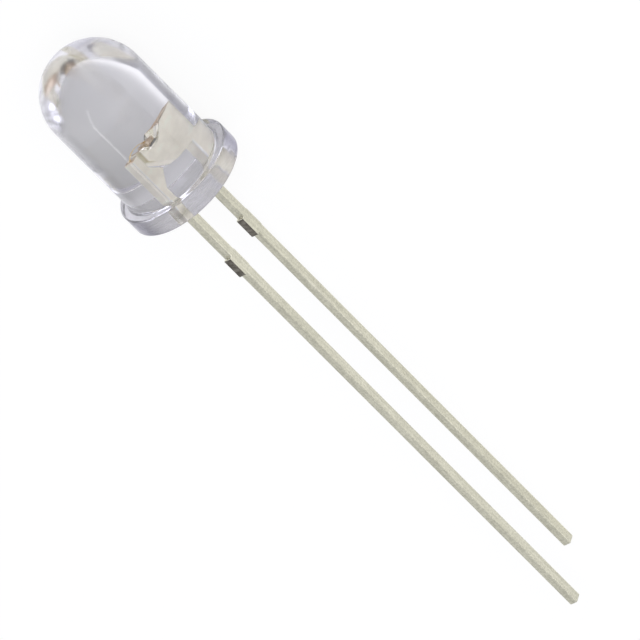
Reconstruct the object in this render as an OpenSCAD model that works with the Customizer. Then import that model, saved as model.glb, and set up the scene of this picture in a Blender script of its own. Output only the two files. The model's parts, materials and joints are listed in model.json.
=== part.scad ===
// Through-hole LED: a clear round-topped epoxy lens cast over a stamped two-lead frame.
// The lamp lies at rest on the flat of its flange and the tip of its shorter lead.
// Each piece is drawn in the lamp's own frame: origin where the axis meets the flange's
// underside, +Z to the dome, +X to the anode, and the lead frame's sheet in the XZ plane.

/* [Lens] */
// Diameter of the barrel and of its hemispherical dome
lens_d = 5; // [4.6:0.05:5.2]
// Diameter of the flange
flange_d = 5.9; // [5.6:0.05:6.4]
// Thickness of the flange
flange_h = 1; // [0.8:0.05:1.2]
// Height of the dome's tip over the flange's underside
overall_h = 8.7; // [8:0.1:10]
// Radius of the fillet where the barrel meets the flange
seat_fillet_r = 0.15; // [0.05:0.01:0.16]
// Radius that rounds the flange's two outer edges
rim_round_r = 0.08; // [0.03:0.01:0.15]
// Distance from the axis to the flat that marks the cathode side of the flange
flat_reach = 2.7; // [2.67:0.01:2.78]

/* [Leads] */
// Distance between the centres of the two leads
lead_pitch = 2.54; // [2.4:0.02:2.6]
// Width of a lead in the plane of the sheet
lead_w = 0.5; // [0.4:0.02:0.56]
// Thickness of the sheet that the frame is stamped from
sheet_t = 0.4; // [0.4:0.01:0.5]
// Length of the anode lead below the flange
anode_len = 27.6; // [24:0.1:30]
// Length of the cathode lead below the flange
cathode_len = 26.3; // [22:0.1:29]
// Distance from the flange's underside to the sheared tie-bar stubs
tie_drop = 3.4; // [2:0.1:6]
// Height of a stub along the lead
tie_h = 1.1; // [0.6:0.05:1.6]
// Distance that a stub stands out from the lead's edge on the anode side
tie_reach = 0.17; // [0.05:0.01:0.3]
// Distance that it stands out on the cathode side, where the bar was cut closer
tie_trim = 0.03; // [0.02:0.01:0.15]

/* [Lead frame head] */
// Height of the top of anvil and post over the flange's underside
frame_top = 3.42; // [3.2:0.02:4]
// Distance from the axis to the anvil's edge that faces the post
anvil_inner = 0.7; // [0.7:0.01:0.78]
// Distance from the axis to the anvil's outer edge
anvil_outer = 1.32; // [1.1:0.01:1.4]
// Height of the anvil's straight inner edge, from the top down to the slant
cheek_h = 0.7; // [0.6:0.02:0.9]
// Height of the corner where the anvil's slant ends in its underside
anvil_toe_z = 1.6; // [1.5:0.02:1.8]
// Distance past the axis of that corner, on the cathode side
anvil_toe_x = 0.3; // [0.1:0.02:0.5]
// Height of the anvil's underside where it meets the cathode leg
anvil_root_z = 1.42; // [1.3:0.02:1.48]
// Clear gap between the anvil and the post
frame_gap = 0.27; // [0.2:0.01:0.32]
// Distance from the axis to the post's toe, under the anvil's slant
post_toe_x = 0.4; // [0.3:0.02:0.6]
// Height of the shoulder where the post widens from the anode leg
post_root_z = 1.25; // [1.1:0.02:1.4]

/* [Reflector cup] */
// Radius of the cup's mouth
cup_mouth_r = 0.65; // [0.6:0.01:0.65]
// Radius of the cup's floor
cup_floor_r = 0.4; // [0.36:0.01:0.44]
// Depth of the cup below the top of the anvil
cup_depth = 0.36; // [0.32:0.01:0.4]
// Width of the coined rim round the mouth
cup_rim = 0.04; // [0.03:0.01:0.04]
// Depth of the coined head below the top of the anvil
coin_depth = 0.6; // [0.54:0.01:0.66]
// Distance that the coined head bulges past each face of the sheet
coin_bulge = 0.12; // [0.12:0.01:0.16]

/* [Chip and wire] */
// Side of the square chip
chip_w = 0.38; // [0.32:0.01:0.39]
// Height of the chip
chip_h = 0.27; // [0.22:0.01:0.3]
// Radius of the adhesive at the cup's floor
paste_r = 0.31; // [0.3:0.005:0.315]
// Distance that the adhesive's upper rim stands outside the chip's corners
paste_ledge = 0.01; // [0.005:0.005:0.015]
// Thickness of the adhesive under the chip
paste_under = 0.02; // [0.01:0.005:0.03]
// Height of the adhesive's fillet up the side of the chip
paste_climb = 0.05; // [0.03:0.01:0.08]
// Diameter of the gold bond wire
wire_d = 0.03; // [0.02:0.005:0.04]
// Height of the wire's loop over the line between its two bonds
loop_rise = 0.2; // [0.16:0.02:0.4]
// Diameter of the ball bond on the chip
ball_d = 0.1; // [0.08:0.01:0.12]
// Height of the ball bond and of the stitch bond on the post
bond_h = 0.03; // [0.025:0.005:0.04]
// Length of the stitch bond
stitch_l = 0.16; // [0.12:0.01:0.2]

/* [Hidden] */
$fn = 96;

lens_r = lens_d / 2;
flange_r = flange_d / 2;
dome_z = overall_h - lens_r;

lead_x = lead_pitch / 2;
lead_inner = lead_x - lead_w / 2;
lead_outer = lead_x + lead_w / 2;

// The anvil's slant runs from the foot of its cheek to its toe, and the post's is parallel.
slant_top_z = frame_top - cheek_h;
slant_rise = (slant_top_z - anvil_toe_z) / (anvil_inner + anvil_toe_x);
slant_drop = frame_gap * sqrt(1 + slant_rise * slant_rise);
post_inner = anvil_inner + frame_gap;
post_slant_z = slant_top_z + frame_gap * slant_rise - slant_drop;
post_toe_z = post_slant_z - (post_inner - post_toe_x) * slant_rise;
shoulder_z = anvil_root_z + lead_outer - anvil_outer;

floor_z = frame_top - cup_depth;
coin_mouth_r = cup_mouth_r + cup_rim;
coin_root_r = sheet_t / 2;

chip_z = floor_z + paste_under;
chip_top = chip_z + chip_h;
paste_top_r = chip_w / sqrt(2) + paste_ledge;

// The wire is an arc in the sheet's plane from the ball bond to the stitch bond.
post_mid = (post_inner + lead_outer) / 2;
wire_start = [0, chip_top + bond_h / 2];
wire_end = [post_mid, frame_top + bond_h / 2];
span = norm(wire_end - wire_start);
wire_tilt = atan2(wire_end[1] - wire_start[1], wire_end[0] - wire_start[0]);
arc_r = (span * span / 4 + loop_rise * loop_rise) / (2 * loop_rise);
arc_half = asin(span / 2 / arc_r);

// The lamp lies on the lower edge of its flat and on the cathode lead's tip.
lie_angle = atan2(flat_reach - lead_outer, cathode_len);
lie_lift = flat_reach * cos(lie_angle);
dome_end = dome_z * cos(lie_angle) + lens_r;
anode_end = -anode_len * cos(lie_angle) - lead_outer * sin(lie_angle);
cathode_end = -cathode_len * cos(lie_angle) - lead_outer * sin(lie_angle);
lie_shift = -(dome_end + min(anode_end, cathode_end)) / 2;

past = 0.5; // distance that a cutting shape runs past what it cuts

// Lays the lamp down: dome towards +X, cathode side on the floor, middle of its box at X = 0
module laid() {
    translate([lie_shift, 0, lie_lift])
        rotate([0, -lie_angle, 0])
            rotate([180, -90, 0])
                children();
}

// Half section of the lens, turned round the axis
module lens_profile() {
    square([lens_r, dome_z]);
    translate([0, dome_z]) intersection() {
        circle(r = lens_r);
        square([lens_r, lens_r]);
    }
    // flange with both outer edges rounded
    square([flange_r - rim_round_r, flange_h]);
    translate([0, rim_round_r]) square([flange_r, flange_h - 2 * rim_round_r]);
    for (z = [rim_round_r, flange_h - rim_round_r])
        translate([flange_r - rim_round_r, z]) circle(r = rim_round_r);
    // fillet between barrel and flange
    difference() {
        translate([lens_r - seat_fillet_r, flange_h - seat_fillet_r])
            square(2 * seat_fillet_r);
        translate([lens_r + seat_fillet_r, flange_h + seat_fillet_r])
            circle(r = seat_fillet_r);
    }
}

// A cast body with the flat cut on the cathode side of its flange
module lens_body() {
    difference() {
        rotate_extrude() lens_profile();
        translate([-flat_reach - flange_r, -flange_r, -past])
            cube([flange_r, flange_d, past + flange_h]);
    }
}

// Sheet stamping: an outline in X and Z, as thick as the sheet, centred on the axis
module stamped() {
    rotate([90, 0, 0])
        linear_extrude(height = sheet_t, center = true)
            children();
}

// Sheared stubs left on both edges of a lead where the tie bar joined it
module tie_stubs_outline(x) {
    translate([x - lead_w / 2 - tie_trim, -tie_drop - tie_h])
        square([lead_w + tie_trim + tie_reach, tie_h]);
}

module cathode_outline() {
    polygon([
        [-lead_outer, -cathode_len],
        [-lead_inner, -cathode_len],
        [-lead_inner, anvil_root_z],
        [-anvil_toe_x, anvil_toe_z],
        [anvil_inner, slant_top_z],
        [anvil_inner, frame_top],
        [-anvil_outer, frame_top],
        [-anvil_outer, shoulder_z],
        [-lead_outer, anvil_root_z]
    ]);
    tie_stubs_outline(-lead_x);
}

module anode_outline() {
    polygon([
        [lead_inner, -anode_len],
        [lead_outer, -anode_len],
        [lead_outer, frame_top],
        [post_inner, frame_top],
        [post_inner, post_slant_z],
        [post_toe_x, post_toe_z],
        [lead_inner, post_root_z]
    ]);
    tie_stubs_outline(lead_x);
}

// Head of the anvil, pushed out past the sheet's faces when the cup was coined
module coined_head() {
    intersection() {
        translate([0, 0, frame_top - coin_depth])
            cylinder(h = coin_depth, r1 = coin_root_r, r2 = coin_mouth_r);
        translate([-coin_mouth_r, -sheet_t / 2 - coin_bulge, frame_top - coin_depth])
            cube([2 * coin_mouth_r, sheet_t + 2 * coin_bulge, coin_depth]);
    }
}

// Conical recess of the cup, run on past the top at the same slope
module cup_recess() {
    flare = (cup_mouth_r - cup_floor_r) / cup_depth;
    translate([0, 0, floor_z])
        cylinder(h = cup_depth + past, r1 = cup_floor_r, r2 = cup_mouth_r + flare * past);
}

module cathode_metal() {
    difference() {
        union() {
            stamped() cathode_outline();
            coined_head();
        }
        cup_recess();
    }
}

module anode_metal() {
    stamped() anode_outline();
}

module chip_block() {
    translate([-chip_w / 2, -chip_w / 2, chip_z])
        cube([chip_w, chip_w, chip_h]);
}

// Adhesive disc on the cup's floor that climbs a little way up the chip
module paste_bead() {
    difference() {
        translate([0, 0, floor_z])
            cylinder(h = paste_under + paste_climb, r1 = paste_r, r2 = paste_top_r);
        chip_block();
    }
}

// Ball bond, looped wire and flattened stitch bond
module wire_run() {
    translate([0, 0, chip_top])
        cylinder(h = bond_h, d = ball_d);
    translate([post_mid - stitch_l / 2, -wire_d, frame_top])
        cube([stitch_l, 2 * wire_d, bond_h]);
    translate([wire_start[0], 0, wire_start[1]])
        rotate([0, -wire_tilt, 0])
            translate([span / 2, 0, loop_rise - arc_r])
                rotate([90, 0, 0])
                    rotate([0, 0, 90 - arc_half])
                        rotate_extrude(angle = 2 * arc_half)
                            translate([arc_r, 0]) circle(d = wire_d);
}

module lens() {
    color([0.82, 0.82, 0.88, 0.4]) laid() difference() {
        lens_body();
        cathode_metal();
        anode_metal();
        paste_bead();
        chip_block();
        wire_run();
    }
}

module cathode_lead() {
    color([0.78, 0.77, 0.7]) laid() cathode_metal();
}

module anode_lead() {
    color([0.76, 0.75, 0.68]) laid() anode_metal();
}

module die_attach() {
    color([0.7, 0.7, 0.68]) laid() paste_bead();
}

module led_chip() {
    color([0.62, 0.5, 0.33]) laid() chip_block();
}

module bond_wire() {
    color([0.86, 0.68, 0.3]) laid() wire_run();
}

lens();
cathode_lead();
anode_lead();
die_attach();
led_chip();
bond_wire();
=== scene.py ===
import json
import math

import bmesh
import bpy
from mathutils import Matrix, Vector


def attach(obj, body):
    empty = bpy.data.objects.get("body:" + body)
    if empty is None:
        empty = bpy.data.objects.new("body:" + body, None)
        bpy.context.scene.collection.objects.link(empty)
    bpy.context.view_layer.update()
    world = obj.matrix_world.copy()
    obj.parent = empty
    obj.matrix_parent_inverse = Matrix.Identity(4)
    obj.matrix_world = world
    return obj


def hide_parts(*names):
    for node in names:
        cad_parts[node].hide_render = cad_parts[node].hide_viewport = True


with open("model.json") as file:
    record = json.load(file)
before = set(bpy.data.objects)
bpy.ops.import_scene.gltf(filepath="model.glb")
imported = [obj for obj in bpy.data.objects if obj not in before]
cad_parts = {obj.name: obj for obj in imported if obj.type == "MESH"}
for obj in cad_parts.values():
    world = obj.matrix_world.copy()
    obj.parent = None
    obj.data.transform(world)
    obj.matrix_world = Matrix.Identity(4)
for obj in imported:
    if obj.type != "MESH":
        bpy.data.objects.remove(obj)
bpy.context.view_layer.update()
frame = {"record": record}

scene = bpy.context.scene
mm = 0.001
mergeDistance = 0.0001  # millimetres, as all the shapes below

# The lamp's own frame, in which every piece is shaped in millimetres: origin on the axis at
# the flange's underside, Z to the dome, X to the anode, Y across the lead frame's sheet.
mountOf = {m["name"]: m for m in frame["record"]["mounts"]}
lampAxis = Vector(mountOf["barrel"]["axis"]).normalized()
sheetNormal = Vector((0, -1, 0))
anodeSide = sheetNormal.cross(lampAxis).normalized()
lampTurn = Matrix((anodeSide, sheetNormal, lampAxis)).transposed()
lampOrigin = Vector(mountOf["board_seat"]["pos_m"])
lampToWorld = Matrix.Translation(lampOrigin) @ lampTurn.to_4x4() @ Matrix.Scale(mm, 4)


def addNode(tree, kind, **settings):
    node = tree.nodes.new(kind)
    for key, value in settings.items():
        setattr(node, key, value)
    return node


def setInputs(node, **values):
    for key, value in values.items():
        node.inputs[key.replace("_", " ")].default_value = value


# Links another node's output to a socket, or sets a number or a colour on it
def feed(tree, value, socket):
    if isinstance(value, bpy.types.NodeSocket):
        tree.links.new(value, socket)
    elif isinstance(value, (int, float)):
        socket.default_value = value
    else:
        socket.default_value = (*value, 1)


def mathNode(tree, operation, first, second):
    node = addNode(tree, "ShaderNodeMath", operation=operation)
    feed(tree, first, node.inputs[0])
    feed(tree, second, node.inputs[1])
    return node.outputs["Value"]


def mixColour(tree, factor, first, second, blend="MIX"):
    node = addNode(tree, "ShaderNodeMix", data_type="RGBA", blend_type=blend)
    feed(tree, factor, node.inputs[0])
    feed(tree, first, node.inputs[6])
    feed(tree, second, node.inputs[7])
    return node.outputs[2]


def greyFrom(tree, value):
    node = addNode(tree, "ShaderNodeCombineColor")
    for channel in ("Red", "Green", "Blue"):
        tree.links.new(value, node.inputs[channel])
    return node.outputs["Color"]


# Values from low to high become newLow to newHigh, and stop there
def remap(tree, value, low, high, newLow=0.0, newHigh=1.0):
    node = addNode(tree, "ShaderNodeMapRange")
    tree.links.new(value, node.inputs["Value"])
    setInputs(node, From_Min=low, From_Max=high, To_Min=newLow, To_Max=newHigh)
    return node.outputs["Result"]


def fromMask(tree, mask, atZero, atOne):
    return remap(tree, mask, 0.0, 1.0, atZero, atOne)


def reachAlong(tree, place, direction):
    node = addNode(tree, "ShaderNodeVectorMath", operation="DOT_PRODUCT")
    tree.links.new(place, node.inputs[0])
    node.inputs[1].default_value = direction
    return node.outputs["Value"]


# Object coordinates turned into the lamp's own frame, in millimetres
def lampCoordinates(tree):
    coordinates = addNode(tree, "ShaderNodeTexCoord")
    toLamp = lampToWorld.inverted()
    turned = addNode(tree, "ShaderNodeMapping", vector_type="POINT")
    turned.inputs["Location"].default_value = toLamp.to_translation()
    turned.inputs["Rotation"].default_value = toLamp.to_euler()
    turned.inputs["Scale"].default_value = (1 / mm, 1 / mm, 1 / mm)
    tree.links.new(coordinates.outputs["Object"], turned.inputs["Vector"])
    return turned.outputs["Vector"]


def heightOf(tree, place):
    node = addNode(tree, "ShaderNodeSeparateXYZ")
    tree.links.new(place, node.inputs["Vector"])
    return node.outputs["Z"]


def newGroup(name, inputs, outputs):
    group = bpy.data.node_groups.new(name, "ShaderNodeTree")
    for label, kind, value in inputs:
        socket = group.interface.new_socket(label, in_out="INPUT", socket_type="NodeSocket" + kind)
        if value is not None:
            socket.default_value = value
    for label, kind in outputs:
        group.interface.new_socket(label, in_out="OUTPUT", socket_type="NodeSocket" + kind)
    return group, addNode(group, "NodeGroupInput"), addNode(group, "NodeGroupOutput")


# Streaks along a lead from rolling and dipping, or short torn grooves in a sheared end
def makeRolledGrain():
    group, entry, outlet = newGroup(
        "rolledGrain",
        [("Vector", "Vector", None), ("Across", "Float", 9.0), ("Along", "Float", 0.35)],
        [("Tone", "Float"), ("Height", "Float")],
    )
    scale = addNode(group, "ShaderNodeCombineXYZ")
    for axis, label in zip("XYZ", ("Across", "Across", "Along")):
        group.links.new(entry.outputs[label], scale.inputs[axis])
    stretched = addNode(group, "ShaderNodeVectorMath", operation="MULTIPLY")
    group.links.new(entry.outputs["Vector"], stretched.inputs[0])
    group.links.new(scale.outputs["Vector"], stretched.inputs[1])
    noise = addNode(group, "ShaderNodeTexNoise")
    setInputs(noise, Scale=1.0, Detail=4.0, Roughness=0.6)
    group.links.new(stretched.outputs["Vector"], noise.inputs["Vector"])
    dullest, brightest = 0.3, 0.7
    tone = remap(group, noise.outputs["Fac"], dullest, brightest)
    group.links.new(tone, outlet.inputs["Tone"])
    group.links.new(noise.outputs["Fac"], outlet.inputs["Height"])
    return group


# Cloudy patches
def makeMottle():
    group, entry, outlet = newGroup(
        "mottle",
        [("Vector", "Vector", None), ("Scale", "Float", 3.0), ("Detail", "Float", 3.0)],
        [("Mask", "Float")],
    )
    noise = addNode(group, "ShaderNodeTexNoise")
    setInputs(noise, Roughness=0.55)
    for label in ("Vector", "Scale", "Detail"):
        group.links.new(entry.outputs[label], noise.inputs[label])
    thinnest, thickest = 0.35, 0.65
    mask = remap(group, noise.outputs["Fac"], thinnest, thickest)
    group.links.new(mask, outlet.inputs["Mask"])
    return group


rolledGrain = makeRolledGrain()
mottle = makeMottle()


def useGroup(tree, group, vector, **values):
    node = addNode(tree, "ShaderNodeGroup", node_tree=group)
    tree.links.new(vector, node.inputs["Vector"])
    setInputs(node, **values)
    return node


def patches(tree, place, sizes):
    return useGroup(tree, mottle, place, **sizes).outputs["Mask"]


# A value that markFaces leaves on each face of a lead
def faceMark(tree, label):
    return addNode(tree, "ShaderNodeAttribute", attribute_name=label).outputs["Fac"]


def newMaterial(name):
    material = bpy.data.materials.new(name)
    material.use_nodes = True
    tree = material.node_tree
    tree.nodes.clear()
    shader = addNode(tree, "ShaderNodeBsdfPrincipled")
    output = addNode(tree, "ShaderNodeOutputMaterial")
    tree.links.new(shader.outputs["BSDF"], output.inputs["Surface"])
    return material, tree, shader


# The relief's height is in millimetres
def addBump(tree, shader, relief, strength, height):
    bump = addNode(tree, "ShaderNodeBump")
    setInputs(bump, Strength=strength, Distance=height * mm)
    tree.links.new(relief, bump.inputs["Height"])
    tree.links.new(bump.outputs["Normal"], shader.inputs["Normal"])


# A base colour that wanders between two tones, and the mask that it follows
def mottledBase(tree, shader, sizes, dark, light):
    mask = patches(tree, lampCoordinates(tree), sizes)
    tree.links.new(mixColour(tree, mask, dark, light), shader.inputs["Base Color"])
    return mask


# Each pair of heights says where on the axis a part's tint starts and where it is full; these
# tints carry painted light and shade
epoxyFinish = {
    "refraction": 1.53,
    "domePaintedLightTint": (1.0, 0.99, 1.0),
    "domeHeights": (4.4, 6.6),
    "clearTint": (0.93, 0.92, 0.93),
    "clearHeights": (2.5, 5.5),
    "footShadeTint": (0.80, 0.79, 0.805),
    "footHeights": (2.0, 0.8),
    "flangeShadeTint": (0.87, 0.855, 0.88),
    "flangeRimShade": (0.22, 0.205, 0.30),
    "flangeHeights": (1.05, 0.9),
    "rimShadeFacing": (0.3, 0.7),
    "paintedLightSide": (0.64, -0.77, 0.0),
    "paintedLightReach": (-0.5, 2.0),  # from the axis towards that side
    "haze": {"Scale": 0.7, "Detail": 2.0},
    "hazeTone": 0.96,
    "roughness": (0.04, 0.08),
    "domeRoughness": 0.11,
    "footRoughness": 0.1,
    "ripples": {"Scale": 0.8, "Detail": 0.0},
    "footRipples": {"Scale": 1.7, "Detail": 1.0},
    "footWaviness": 3.0,
    "waviness": 0.07,
    "waveHeight": 0.02,
}


def makeEpoxy():
    s = epoxyFinish
    material, tree, shader = newMaterial("clearEpoxy")
    setInputs(shader, IOR=s["refraction"], Transmission_Weight=1.0, Metallic=0.0)
    place = lampCoordinates(tree)
    height = heightOf(tree, place)
    inDome = remap(tree, height, *s["domeHeights"])
    upBarrel = remap(tree, height, *s["clearHeights"])
    inFoot = remap(tree, height, *s["footHeights"])
    inFlange = remap(tree, height, *s["flangeHeights"])
    haze = patches(tree, place, s["haze"])

    # Tint with painted light and shade: darker towards the foot, paler up the barrel and on one
    # side of it
    tint = mixColour(tree, upBarrel, s["footShadeTint"], s["clearTint"])
    paintedLightShare = remap(tree, reachAlong(tree, place, s["paintedLightSide"]), *s["paintedLightReach"])
    tint = mixColour(tree, mathNode(tree, "MULTIPLY", upBarrel, paintedLightShare), tint, (1, 1, 1))
    cloud = greyFrom(tree, fromMask(tree, haze, 1.0, s["hazeTone"]))
    tint = mixColour(tree, 1.0, tint, cloud, "MULTIPLY")
    # Painted light: the dome's tint is nearly white, so the dome shows lighter than the barrel
    tint = mixColour(tree, inDome, tint, s["domePaintedLightTint"])
    # Painted shade: the flange is tinted darker, and darker and bluer still towards its
    # silhouette, where it faces away
    facing = addNode(tree, "ShaderNodeLayerWeight")
    setInputs(facing, Blend=0.5)
    rim = remap(tree, facing.outputs["Facing"], *s["rimShadeFacing"])
    flangeShade = mixColour(tree, rim, s["flangeShadeTint"], s["flangeRimShade"])
    tint = mixColour(tree, inFlange, tint, flangeShade)
    tree.links.new(tint, shader.inputs["Base Color"])

    # Softer at the dome and at the foot
    rough = fromMask(tree, haze, *s["roughness"])
    for mask, value in ((inDome, s["domeRoughness"]), (inFoot, s["footRoughness"])):
        rough = mathNode(tree, "MAXIMUM", rough, mathNode(tree, "MULTIPLY", mask, value))
    tree.links.new(rough, shader.inputs["Roughness"])

    # Long waves all over, and shorter and deeper ones at the foot
    footRipples = patches(tree, place, s["footRipples"])
    footWaves = mathNode(tree, "MULTIPLY", footRipples, s["footWaviness"])
    footWaves = mathNode(tree, "MULTIPLY", footWaves, inFoot)
    waves = mathNode(tree, "ADD", patches(tree, place, s["ripples"]), footWaves)
    addBump(tree, shader, waves, s["waviness"], s["waveHeight"])
    return material


# The painted reflection band's depths are millimetres below the lead frame's top
tinFinish = {
    "bright": (0.70, 0.68, 0.54),
    "dull": (0.57, 0.555, 0.43),
    "grain": {"Across": 9.0, "Along": 0.3},
    "clouds": {"Scale": 2.2, "Detail": 4.0},
    "cloudTone": (0.94, 1.04),
    "speckles": {"Scale": 10.0, "Detail": 2.0},
    "speckleTone": (0.88, 1.10),
    "silver": (1.0, 0.96, 0.82),
    "silverHeights": (0.0, 0.3),
    "goldTopReflection": (1.0, 0.91, 0.74),
    "darkTopReflection": (0.55, 0.4, 0.27),
    "blotches": {"Scale": 3.1, "Detail": 2.0},
    "reflectionBandStarts": 0.04,
    "reflectionBandFull": 0.01,
    "sheared": (0.08, 0.07, 0.055),
    "groove": (0.30, 0.28, 0.235),
    "grooves": {"Across": 2.5, "Along": 5.0},
    "highlightGain": 0.16,
    "roughness": (0.40, 0.30),
    "coinedPolish": 0.4,
    "relief": 0.25,
    "reliefHeight": 0.01,
}


def makeTin():
    s = tinFinish
    material, tree, shader = newMaterial("tinnedLead")
    setInputs(shader, Metallic=1.0)
    place = lampCoordinates(tree)
    height = heightOf(tree, place)
    grain = useGroup(tree, rolledGrain, place, **s["grain"])
    clouds = patches(tree, place, s["clouds"])

    # Speckled tin outside the resin, silver inside it, and a painted reflection in gold and dark
    # brown along the frame's top
    tone = mixColour(tree, grain.outputs["Tone"], s["dull"], s["bright"])
    speckle = fromMask(tree, patches(tree, place, s["speckles"]), *s["speckleTone"])
    tone = mixColour(tree, 1.0, tone, greyFrom(tree, speckle), "MULTIPLY")
    inResin = remap(tree, height, *s["silverHeights"])
    tone = mixColour(tree, inResin, tone, s["silver"])
    paintedTopReflection = mixColour(tree, patches(tree, place, s["blotches"]), s["goldTopReflection"], s["darkTopReflection"])
    top = leadShape["frameTop"]
    onTop = remap(tree, height, top - s["reflectionBandStarts"], top - s["reflectionBandFull"])
    tone = mixColour(tree, onTop, tone, paintedTopReflection)

    # Painted highlight on the leads' rounded corners and the stubs' upper ends, and torn bare
    # metal where it was sheared
    paintedHighlight = mathNode(tree, "MULTIPLY", faceMark(tree, "paintedHighlight"), s["highlightGain"])
    paintedHighlight = mathNode(tree, "ADD", paintedHighlight, 1.0)
    cloudsAndHighlight = mathNode(tree, "MULTIPLY", fromMask(tree, clouds, *s["cloudTone"]), paintedHighlight)
    platingAndPaintedLight = mixColour(tree, 1.0, tone, greyFrom(tree, cloudsAndHighlight), "MULTIPLY")
    grooves = useGroup(tree, rolledGrain, place, **s["grooves"])
    torn = mixColour(tree, grooves.outputs["Tone"], s["sheared"], s["groove"])
    surface = mixColour(tree, faceMark(tree, "sheared"), platingAndPaintedLight, torn)
    tree.links.new(surface, shader.inputs["Base Color"])

    rough = fromMask(tree, grain.outputs["Tone"], *s["roughness"])
    polish = fromMask(tree, faceMark(tree, "coined"), 1.0, s["coinedPolish"])
    tree.links.new(mathNode(tree, "MULTIPLY", rough, polish), shader.inputs["Roughness"])
    relief = mathNode(tree, "ADD", grain.outputs["Height"], clouds)
    addBump(tree, shader, relief, s["relief"], s["reliefHeight"])
    return material


adhesiveFinish = {
    "dark": (0.42, 0.41, 0.38),
    "light": (0.72, 0.71, 0.67),
    "flakes": {"Scale": 30.0, "Detail": 2.0},
    "metallic": 0.5,
    "roughness": 0.5,
    "relief": 0.5,
    "reliefHeight": 0.008,
}


def makeAdhesive():
    s = adhesiveFinish
    material, tree, shader = newMaterial("silverAdhesive")
    setInputs(shader, Metallic=s["metallic"], Roughness=s["roughness"])
    flakes = mottledBase(tree, shader, s["flakes"], s["dark"], s["light"])
    addBump(tree, shader, flakes, s["relief"], s["reliefHeight"])
    return material


chipFinish = {
    "dark": (0.66, 0.50, 0.35),
    "light": (0.94, 0.80, 0.62),
    "blotches": {"Scale": 9.0, "Detail": 3.0},
    "metallic": 0.8,
    "roughness": 0.4,
    "refraction": 1.6,
}


def makeChip():
    s = chipFinish
    material, tree, shader = newMaterial("chipCrystal")
    setInputs(shader, Metallic=s["metallic"], Roughness=s["roughness"], IOR=s["refraction"])
    mottledBase(tree, shader, s["blotches"], s["dark"], s["light"])
    return material


goldFinish = {
    "dark": (0.86, 0.60, 0.20),
    "light": (0.95, 0.72, 0.32),
    "grain": {"Scale": 14.0, "Detail": 2.0},
    "roughness": (0.2, 0.3),
}


def makeGold():
    s = goldFinish
    material, tree, shader = newMaterial("bondGold")
    setInputs(shader, Metallic=1.0)
    grain = mottledBase(tree, shader, s["grain"], s["dark"], s["light"])
    tree.links.new(fromMask(tree, grain, *s["roughness"]), shader.inputs["Roughness"])
    return material


# Turns a bmesh shaped in the lamp's frame into a piece that stands for its CAD node
def finishPiece(name, bm, node, material, keepFlat=True):
    bmesh.ops.remove_doubles(bm, verts=bm.verts, dist=mergeDistance)
    bmesh.ops.recalc_face_normals(bm, faces=bm.faces)
    bmesh.ops.transform(bm, matrix=lampToWorld, verts=bm.verts)
    for face in bm.faces:
        face.smooth = True
    mesh = bpy.data.meshes.new(name)
    bm.to_mesh(mesh)
    bm.free()
    mesh.materials.append(material)
    piece = bpy.data.objects.new(name, mesh)
    scene.collection.objects.link(piece)
    if keepFlat:
        flats = piece.modifiers.new("flatFaces", "WEIGHTED_NORMAL")
        flats.keep_sharp = True
    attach(piece, "root")
    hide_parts(node)
    print("made", name, len(mesh.polygons), "faces")
    return piece


# Edges of the circle of that radius at that height
def ringEdges(bm, radius, height):
    near = 0.001
    onRing = {
        v for v in bm.verts
        if abs(math.hypot(v.co.x, v.co.y) - radius) < near and abs(v.co.z - height) < near
    }
    return [e for e in bm.edges if e.verts[0] in onRing and e.verts[1] in onRing]


def bevelEdges(bm, edges, width, segments):
    bmesh.ops.bevel(
        bm, geom=edges, offset=width, offset_type="OFFSET", segments=segments,
        profile=0.5, affect="EDGES", material=-1, clamp_overlap=False,
    )


# Cuts off what lies beyond that point, closes the cut and returns its edges
def cutBeyond(bm, point, outward):
    cut = bmesh.ops.bisect_plane(
        bm, geom=bm.verts[:] + bm.edges[:] + bm.faces[:],
        plane_co=point, plane_no=outward, clear_outer=True,
    )
    edges = [e for e in cut["geom_cut"] if isinstance(e, bmesh.types.BMEdge)]
    bmesh.ops.edgeloop_fill(bm, edges=edges)
    return edges


lensShape = {
    "barrelRadius": 2.5,
    "flangeRadius": 2.95,
    "flangeHeight": 1.0,
    "domeCentre": 6.2,
    "seatFillet": 0.15,  # where the barrel leaves the flange
    "filletSteps": 10,
    "rimRound": 0.08,
    "rimSteps": 8,
    "flatReach": 2.7,  # from the axis to the flange's flat
    "turnSteps": 256,
    "domeSteps": 64,
}


def makeLens(material):
    s = lensShape
    bm = bmesh.new()
    corners = [
        (0, 0),
        (s["flangeRadius"], 0),
        (s["flangeRadius"], s["flangeHeight"]),
        (s["barrelRadius"], s["flangeHeight"]),
        (s["barrelRadius"], s["domeCentre"]),
    ]
    outline = [bm.verts.new((radius, 0, height)) for radius, height in corners]
    for first, second in zip(outline, outline[1:]):
        bm.edges.new((first, second))
    bmesh.ops.spin(
        bm, geom=[outline[-1]], cent=(0, 0, s["domeCentre"]), axis=(0, -1, 0),
        angle=math.pi / 2, steps=s["domeSteps"],
    )
    bmesh.ops.spin(
        bm, geom=bm.verts[:] + bm.edges[:], cent=(0, 0, 0), axis=(0, 0, 1),
        angle=2 * math.pi, steps=s["turnSteps"], use_merge=True,
    )
    bmesh.ops.remove_doubles(bm, verts=bm.verts, dist=mergeDistance)
    bmesh.ops.recalc_face_normals(bm, faces=bm.faces)
    seat = ringEdges(bm, s["barrelRadius"], s["flangeHeight"])
    bevelEdges(bm, seat, s["seatFillet"], s["filletSteps"])
    for height in (0, s["flangeHeight"]):
        bevelEdges(bm, ringEdges(bm, s["flangeRadius"], height), s["rimRound"], s["rimSteps"])
    for edge in cutBeyond(bm, (-s["flatReach"], 0, 0), (-1, 0, 0)):
        edge.smooth = False
    finishPiece("epoxyLens", bm, "lens", material)


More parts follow.
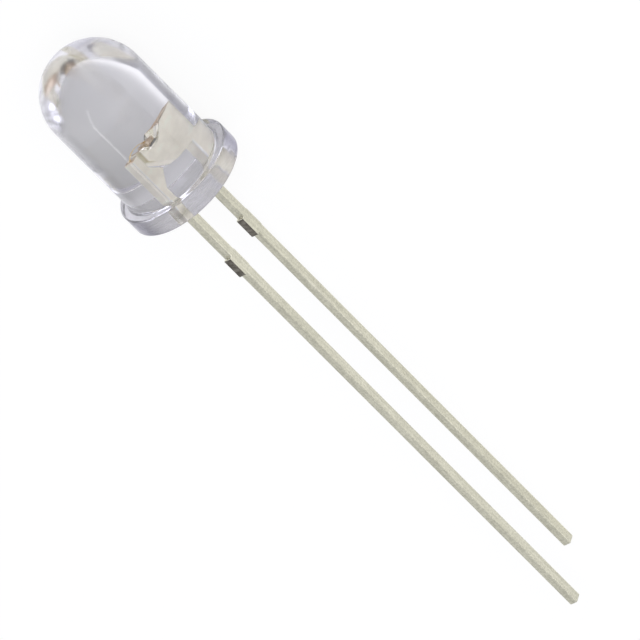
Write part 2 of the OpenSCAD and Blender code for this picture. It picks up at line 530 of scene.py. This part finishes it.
leadShape = {
    "pitch": 2.54,
    "width": 0.5,
    "thickness": 0.4,
    "anodeLength": 27.6,
    "cathodeLength": 26.3,
    "stubDrop": 3.4,  # from the flange down to the stubs
    "stubHeight": 1.1,
    "stubReach": 0.17,  # past the lead on the anode's side
    "stubTrim": 0.03,  # past the lead on the other side
    "stubEndHighlight": 3.5,  # painted highlight's brightness, where a corner has 1
    "frameTop": 3.42,
    "anvilInner": 0.7,  # from the axis towards the post
    "anvilOuter": 1.32,
    "cheekHeight": 0.7,  # upright side above the slanted underside
    "anvilToe": (0.3, 1.6),  # where the slant ends, away from the post, and its height
    "anvilRoot": 1.42,
    "gap": 0.27,  # between the anvil and the post
    "postToe": 0.4,
    "postRoot": 1.25,
    "cornerRound": 0.045,
    "cornerSteps": 3,
}


# How far a lead's two edges lie from the axis
def leadEdges():
    s = leadShape
    middle = s["pitch"] / 2
    return middle - s["width"] / 2, middle + s["width"] / 2


# Corners of the sheared stub on a lead's edge, from the tip's end up
def stubCorners(edge, reach):
    s = leadShape
    low = -s["stubDrop"] - s["stubHeight"]
    out = edge + reach
    return [(edge, low), (out, low), (out, -s["stubDrop"]), (edge, -s["stubDrop"])]


# The sheet's thickness of metal with that outline, its middle on the axis
def stampOutline(corners):
    bm = bmesh.new()
    half = leadShape["thickness"] / 2
    face = bm.faces.new([bm.verts.new((x, -half, z)) for x, z in corners])
    grown = bmesh.ops.extrude_face_region(bm, geom=[face])
    moved = [g for g in grown["geom"] if isinstance(g, bmesh.types.BMVert)]
    bmesh.ops.translate(bm, verts=moved, vec=(0, 2 * half, 0))
    bmesh.ops.recalc_face_normals(bm, faces=bm.faces)
    return bm


def roundCorners(bm, width, segments):
    sharpFrom = 25  # degrees
    sharp = [
        e for e in bm.edges
        if len(e.link_faces) == 2 and math.degrees(e.calc_face_angle()) > sharpFrom
    ]
    bevelEdges(bm, sharp, width, segments)


# Marks for the tin: the stubs' ends, sheared after the leads were tinned, the corners and the
# stubs' upper ends that get a painted highlight, and the cup, which the punch left smooth
def markFaces(mesh):
    s = leadShape
    inner, outer = leadEdges()
    near = s["stubTrim"] / 2
    skin = 0.01
    endOn, upward, slanted = 0.9, 0.7, 0.2  # least share of a face's normal
    toLamp = lampToWorld.inverted()
    marks = {"sheared": [], "paintedHighlight": [], "coined": []}
    for face in mesh.polygons:
        centre = toLamp @ face.center
        side = lampTurn.transposed() @ face.normal
        outside = centre.z < 0
        pastEdge = abs(centre.x) < inner - near or abs(centre.x) > outer + near
        onStub = pastEdge and centre.z < -s["stubDrop"] + near
        marks["sheared"].append(float(onStub and abs(side.x) > endOn))
        paintedHighlight = float(outside and abs(side.x) > slanted and abs(side.y) > slanted)
        if pastEdge and outside and side.z > upward:
            paintedHighlight = s["stubEndHighlight"]
        marks["paintedHighlight"].append(paintedHighlight)
        inMouth = math.hypot(centre.x, centre.y) < cupShape["mouthRadius"]
        depth = s["frameTop"] - centre.z
        marks["coined"].append(float(inMouth and skin < depth < cupShape["depth"] + skin))
    for label, values in marks.items():
        mesh.attributes.new(label, "FLOAT", "FACE").data.foreach_set("value", values)


# The post's slanted foot follows the anvil's underside, a constant gap away
def makeAnode(material):
    s = leadShape
    inner, outer = leadEdges()
    toeReach, toeHeight = s["anvilToe"]
    cheek = s["frameTop"] - s["cheekHeight"]
    rise = (cheek - toeHeight) / (s["anvilInner"] + toeReach)
    postInner = s["anvilInner"] + s["gap"]
    slantTop = cheek + s["gap"] * rise - s["gap"] * math.hypot(1, rise)
    slantToe = slantTop - (postInner - s["postToe"]) * rise
    corners = [
        (inner, -s["anodeLength"]),
        (outer, -s["anodeLength"]),
        *stubCorners(outer, s["stubReach"]),
        (outer, s["frameTop"]),
        (postInner, s["frameTop"]),
        (postInner, slantTop),
        (s["postToe"], slantToe),
        (inner, s["postRoot"]),
        *reversed(stubCorners(inner, -s["stubTrim"])),
    ]
    bm = stampOutline(corners)
    roundCorners(bm, s["cornerRound"], s["cornerSteps"])
    piece = finishPiece("anodeLead", bm, "anode_lead", material)
    markFaces(piece.data)


cupShape = {
    "mouthRadius": 0.65,
    "floorRadius": 0.4,
    "depth": 0.36,
    "rim": 0.04,  # metal left round the mouth
    "bulge": 0.12,  # past each face of the sheet
    "coinDepth": 0.6,
    "steps": 96,
}


def coneSolid(lowRadius, highRadius, low, high):
    bm = bmesh.new()
    bmesh.ops.create_cone(
        bm, cap_ends=True, segments=cupShape["steps"], radius1=lowRadius, radius2=highRadius,
        depth=high - low, matrix=Matrix.Translation((0, 0, (low + high) / 2)),
    )
    return bm


# One solid joined with another, or cut by it
def combine(bm, other, operation):
    objects = []
    for part in (bm, other):
        mesh = bpy.data.meshes.new("temporary")
        part.to_mesh(mesh)
        part.free()
        objects.append(bpy.data.objects.new("temporary", mesh))
        scene.collection.objects.link(objects[-1])
    boolean = objects[0].modifiers.new("combine", "BOOLEAN")
    boolean.operation = operation
    boolean.solver = "EXACT"
    boolean.object = objects[1]
    bpy.context.view_layer.update()
    result = bmesh.new()
    result.from_object(objects[0], bpy.context.evaluated_depsgraph_get())
    for temporary in objects:
        bpy.data.meshes.remove(temporary.data)
    return result


# The anvil is stamped, then its head is coined wider than the sheet and the cup sunk into it
def makeCathode(material):
    s = leadShape
    c = cupShape
    inner, outer = leadEdges()
    toeReach, toeHeight = s["anvilToe"]
    shoulder = s["anvilRoot"] + outer - s["anvilOuter"]
    corners = [
        (-outer, -s["cathodeLength"]),
        (-inner, -s["cathodeLength"]),
        *stubCorners(-inner, s["stubReach"]),
        (-inner, s["anvilRoot"]),
        (-toeReach, toeHeight),
        (s["anvilInner"], s["frameTop"] - s["cheekHeight"]),
        (s["anvilInner"], s["frameTop"]),
        (-s["anvilOuter"], s["frameTop"]),
        (-s["anvilOuter"], shoulder),
        (-outer, s["anvilRoot"]),
        *reversed(stubCorners(-outer, -s["stubTrim"])),
    ]
    bm = stampOutline(corners)
    roundCorners(bm, s["cornerRound"], s["cornerSteps"])

    half = s["thickness"] / 2
    headRadius = c["mouthRadius"] + c["rim"]
    head = coneSolid(half, headRadius, s["frameTop"] - c["coinDepth"], s["frameTop"])
    for side in (-1, 1):
        cutBeyond(head, (0, side * (half + c["bulge"]), 0), (0, side, 0))
    bm = combine(bm, head, "UNION")

    flare = (c["mouthRadius"] - c["floorRadius"]) / c["depth"]
    above = 0.5  # how far the cutting cone stands over the frame's top
    openRadius = c["mouthRadius"] + flare * above
    floor = s["frameTop"] - c["depth"]
    recess = coneSolid(c["floorRadius"], openRadius, floor, s["frameTop"] + above)
    bm = combine(bm, recess, "DIFFERENCE")
    flatWithin = 0.002  # radians
    bmesh.ops.dissolve_limit(bm, angle_limit=flatWithin, verts=bm.verts, edges=bm.edges)
    piece = finishPiece("cathodeLead", bm, "cathode_lead", material)
    markFaces(piece.data)


adhesiveShape = {
    "lowRadius": 0.31,
    "topRadius": 0.279,
    "base": 3.06,
    "height": 0.07,
    "lipRound": 0.02,
    "lipSteps": 3,
}


def makeAdhesivePiece(material):
    s = adhesiveShape
    top = s["base"] + s["height"]
    bm = coneSolid(s["lowRadius"], s["topRadius"], s["base"], top)
    bevelEdges(bm, ringEdges(bm, s["topRadius"], top), s["lipRound"], s["lipSteps"])
    finishPiece("dieAttach", bm, "die_attach", material)


chipShape = {
    "side": 0.38,
    "height": 0.27,
    "base": 3.08,
    "edgeRound": 0.012,
    "edgeSteps": 2,
}


def makeChipPiece(material):
    s = chipShape
    bm = bmesh.new()
    bmesh.ops.create_cube(bm, size=1)
    bmesh.ops.scale(bm, vec=(s["side"], s["side"], s["height"]), verts=bm.verts)
    bmesh.ops.translate(bm, vec=(0, 0, s["base"] + s["height"] / 2), verts=bm.verts)
    roundCorners(bm, s["edgeRound"], s["edgeSteps"])
    finishPiece("ledChip", bm, "led_chip", material)


# Start and end are on the chip and on the post: across the lead frame, and up
wireShape = {
    "diameter": 0.03,
    "rise": 0.2,  # of the loop over a straight line between its ends
    "start": (0.0, 3.365),
    "end": (1.245, 3.435),
    "ballDiameter": 0.1,
    "stitchLength": 0.16,
    "bondHeight": 0.03,
    "loopSteps": 48,
    "sideSteps": 12,
}


# A circle's arc between the two bonds, with a flattened ball at one end and a stitch at the other
def makeWire(material):
    s = wireShape
    start = Vector((s["start"][0], 0, s["start"][1]))
    end = Vector((s["end"][0], 0, s["end"][1]))
    span = (end - start).length
    radius = (span * span / 4 + s["rise"] ** 2) / (2 * s["rise"])
    up = Vector((0, -1, 0)).cross((end - start).normalized())
    centre = (start + end) / 2 + up * (s["rise"] - radius)
    tangent = (start - centre).cross(Vector((0, 1, 0))).normalized()
    turn = tangent.to_track_quat("Z", "Y").to_matrix().to_4x4()
    bm = bmesh.new()
    ring = bmesh.ops.create_circle(
        bm, cap_ends=False, segments=s["sideSteps"], radius=s["diameter"] / 2,
        matrix=Matrix.Translation(start) @ turn,
    )
    edges = list({e for v in ring["verts"] for e in v.link_edges})
    bmesh.ops.spin(
        bm, geom=edges, cent=centre, axis=(0, 1, 0), angle=2 * math.asin(span / 2 / radius),
        steps=s["loopSteps"],
    )
    bmesh.ops.holes_fill(bm, edges=bm.edges)
    bonds = (
        (start, (s["ballDiameter"], s["ballDiameter"], s["bondHeight"])),
        (end, (s["stitchLength"], 2 * s["diameter"], s["bondHeight"])),
    )
    for spot, size in bonds:
        bond = bmesh.ops.create_uvsphere(
            bm, u_segments=2 * s["sideSteps"], v_segments=s["sideSteps"], radius=0.5,
        )
        bmesh.ops.scale(bm, vec=size, verts=bond["verts"])
        bmesh.ops.translate(bm, vec=spot, verts=bond["verts"])
    finishPiece("bondWire", bm, "bond_wire", material, keepFlat=False)


# White is the share of plain white that each kind of ray gets, over the floor's own shading
floorShape = {
    "size": 4.0,
    "colour": (0.92, 0.92, 0.93),
    "roughness": 0.9,
    "white": {"Is Camera Ray": 0.92, "Is Glossy Ray": 0.3, "Is Transmission Ray": 0.32},
}


def whiteShare(tree, shares):
    path = addNode(tree, "ShaderNodeLightPath")
    total = 0.0
    for label, share in shares.items():
        white = mathNode(tree, "MULTIPLY", path.outputs[label], share)
        total = mathNode(tree, "MAXIMUM", total, white)
    return total


def makeFloor():
    s = floorShape
    bm = bmesh.new()
    bmesh.ops.create_grid(bm, x_segments=1, y_segments=1, size=s["size"] / 2)
    mesh = bpy.data.meshes.new("studioFloor")
    bm.to_mesh(mesh)
    bm.free()
    floor = bpy.data.objects.new("studioFloor", mesh)
    scene.collection.objects.link(floor)
    material, tree, shader = newMaterial("paleFloor")
    setInputs(shader, Roughness=s["roughness"], Specular_IOR_Level=0.0)
    shader.inputs["Base Color"].default_value = (*s["colour"], 1)
    glow = addNode(tree, "ShaderNodeEmission")
    setInputs(glow, Strength=1.0)
    mix = addNode(tree, "ShaderNodeMixShader")
    tree.links.new(whiteShare(tree, s["white"]), mix.inputs[0])
    tree.links.new(shader.outputs["BSDF"], mix.inputs[1])
    tree.links.new(glow.outputs["Emission"], mix.inputs[2])
    output = next(n for n in tree.nodes if n.type == "OUTPUT_MATERIAL")
    tree.links.new(mix.outputs["Shader"], output.inputs["Surface"])
    mesh.materials.append(material)


# Darker and lighter parts of the studio, over the sky's own colour: the direction of each, the
# cosines at which it starts and is full, and its colour
studio = {
    "sky": (0.66, 0.665, 0.74),
    "parts": {
        "overhead": ((0, 0, 1), 0.78, 0.97, (0.5, 0.5, 0.57)),
        "nearFlag": ((0, -1, 0.08), 0.93, 0.985, (0.10, 0.09, 0.10)),
        "sideFlag": ((0.65, 0.65, 0.3), 0.93, 0.985, (0.10, 0.09, 0.12)),
        "leadEdgeGlow": ((-0.474, -0.684, 0.553), 0.88, 0.99, (0.98, 0.98, 1.02)),
        "leadSideGlow": ((-0.479, 0.574, 0.664), 0.86, 0.98, (0.80, 0.81, 0.86)),
        "backFlag": ((-0.6, 0.76, 0.2), 0.955, 0.985, (0.30, 0.30, 0.34)),
    },
}


def shadeTowards(tree, place, colour, direction, start, full, shade):
    towards = reachAlong(tree, place, Vector(direction).normalized())
    share = addNode(tree, "ShaderNodeMapRange", interpolation_type="SMOOTHSTEP")
    setInputs(share, From_Min=start, From_Max=full)
    tree.links.new(towards, share.inputs["Value"])
    return mixColour(tree, share.outputs["Result"], colour, shade)


def makeWorld():
    world = bpy.data.worlds.new("studio")
    world.use_nodes = True
    scene.world = world
    tree = world.node_tree
    tree.nodes.clear()
    background = addNode(tree, "ShaderNodeBackground")
    setInputs(background, Strength=1.0)
    place = addNode(tree, "ShaderNodeTexCoord").outputs["Generated"]
    colour = studio["sky"]
    for part in studio["parts"].values():
        colour = shadeTowards(tree, place, colour, *part)
    path = addNode(tree, "ShaderNodeLightPath")
    colour = mixColour(tree, path.outputs["Is Camera Ray"], colour, (1, 1, 1))
    tree.links.new(colour, background.inputs["Color"])
    output = addNode(tree, "ShaderNodeOutputWorld")
    tree.links.new(background.outputs["Background"], output.inputs["Surface"])


# Direction from the lamp, width and height in metres, and whether the light shows in mirrors
# and through the lens
softboxes = {
    "stripLight": {
        "direction": (-0.291, 0.115, 0.951), "size": (0.03, 0.56), "radiance": 3.0,
        "refracted": False,
    },
    "keyLight": {
        "direction": (0.38, -0.56, 0.74), "size": (0.3, 0.3), "radiance": 5.9,
        "mirrored": False, "refracted": False,
    },
    "glintLight": {
        "direction": (0.62, -0.55, 0.5), "size": (0.2, 0.2), "radiance": 2.5,
        "mirrored": False, "tint": (0.82, 0.84, 1.0),
    },
}


def addSoftbox(
    name, direction, size, radiance, distance=0.5, mirrored=True, refracted=True, tint=(1, 1, 1)
):
    light = bpy.data.lights.new(name, "AREA")
    light.color = tint
    light.shape = "RECTANGLE"
    light.size, light.size_y = size
    light.energy = radiance * math.pi * size[0] * size[1]
    lamp = bpy.data.objects.new(name, light)
    scene.collection.objects.link(lamp)
    towards = Vector(direction).normalized()
    lamp.location = lampOrigin + towards * distance
    lamp.rotation_euler = towards.to_track_quat("Z", "Y").to_euler()
    lamp.visible_camera = False
    lamp.visible_glossy = mirrored
    lamp.visible_transmission = refracted


# Angles in degrees: how far the lamp's axis tips to the camera, and the camera's turn about it.
# The lamp's origin lies originAlong pixels down the picture's falling diagonal, and originAcross
# pixels off it.
cameraShape = {
    "axisTilt": 26.7,
    "axisTurn": 50.0,
    "pixelsPerMm": 22.85,
    "imageSide": 640,
    "originAlong": 262.1,
    "originAcross": 1.2,
    "lens": 1200.0,
    "sensor": 36.0,
    "clip": (0.05, 10.0),
}


# Directions in the lamp's frame: to the camera, along the picture's diagonal, and across it
def viewAxes():
    tilt = math.radians(cameraShape["axisTilt"])
    turn = math.radians(cameraShape["axisTurn"])
    sideX, sideY = math.sin(turn), math.cos(turn)
    back = Vector((math.cos(tilt) * sideX, math.cos(tilt) * sideY, math.sin(tilt)))
    along = Vector((math.sin(tilt) * sideX, math.sin(tilt) * sideY, -math.cos(tilt)))
    across = Vector((-sideY, sideX, 0))
    return back, along, across


def placeCamera():
    s = cameraShape
    back, along, across = viewAxes()
    middle = s["imageSide"] / math.sqrt(2)
    target = (
        along * (middle - s["originAlong"]) / s["pixelsPerMm"]
        - across * s["originAcross"] / s["pixelsPerMm"]
    )
    frameWidth = s["imageSide"] / s["pixelsPerMm"]
    distance = s["lens"] * frameWidth / s["sensor"]
    right = lampTurn @ (along + across).normalized()
    up = lampTurn @ (across - along).normalized()
    turn = Matrix((right, up, lampTurn @ back)).transposed()
    position = lampToWorld @ (target + back * distance)
    camera = bpy.data.objects.new("camera", bpy.data.cameras.new("camera"))
    camera.data.lens = s["lens"]
    camera.data.sensor_width = s["sensor"]
    camera.data.clip_start, camera.data.clip_end = s["clip"]
    camera.matrix_world = Matrix.Translation(position) @ turn.to_4x4()
    scene.collection.objects.link(camera)
    scene.camera = camera


scene.view_settings.view_transform = "Standard"
scene.cycles.max_bounces = 24
scene.cycles.glossy_bounces = 16
scene.cycles.transmission_bounces = 24
scene.cycles.caustics_refractive = False
placeCamera()
makeFloor()
makeWorld()
for name, values in softboxes.items():
    addSoftbox(name, **values)
print("studio ready, with", len(softboxes), "softboxes")

makeLens(makeEpoxy())
tin = makeTin()
makeAnode(tin)
makeCathode(tin)
makeAdhesivePiece(makeAdhesive())
makeChipPiece(makeChip())
makeWire(makeGold())
